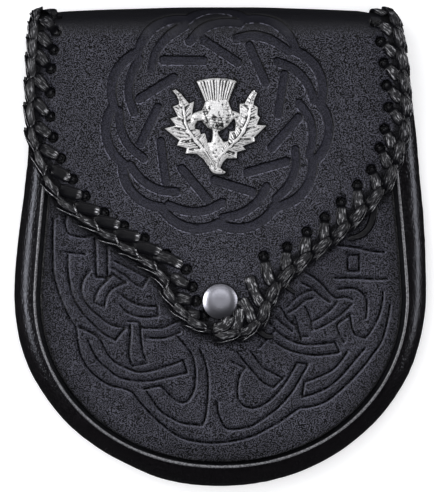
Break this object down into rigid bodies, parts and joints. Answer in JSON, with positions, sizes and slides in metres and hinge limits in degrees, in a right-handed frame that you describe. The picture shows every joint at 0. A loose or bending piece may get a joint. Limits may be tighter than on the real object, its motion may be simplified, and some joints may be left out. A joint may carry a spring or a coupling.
{
  "type": "sporran pouch",
  "caption": "Leather pouch lying on its back: domed U-shaped body with a bulging gusset, laced fold-over flap with a cast thistle badge and a snap.",
  "frame": {"origin": "on the surface that the pouch rests on, under the middle of its outline", "axes": "+Z out of the front of the pouch, +Y towards the fold at its top, +X to the right as seen from the front"},
  "size_m": [0.1726, 0.201, 0.0402],
  "materials": {
    "back_leather": "black grained leather, matt",
    "front_leather": "black grained leather with pressed knotwork, satin",
    "flap_leather": "black grained leather with a pressed knotwork ring, satin",
    "gusset_leather": "black soft leather with fine creases, semi-gloss",
    "piping_leather": "black thin leather over a cord, semi-gloss",
    "lacing_leather": "black polished thong, semi-gloss",
    "cast_silver": "cast white metal, antiqued in the hollows and polished on the ridges",
    "snap_metal": "satin gunmetal"
  },
  "bodies": {
    "root": {"back_panel": "back_leather", "front_panel": "front_leather", "gusset": "gusset_leather", "piping": "piping_leather", "flap": "flap_leather", "edge_lacing": "lacing_leather", "thistle_badge": "cast_silver", "snap_cap": "snap_metal", "snap_stud": "snap_metal"}
  },
  "joints": []
}
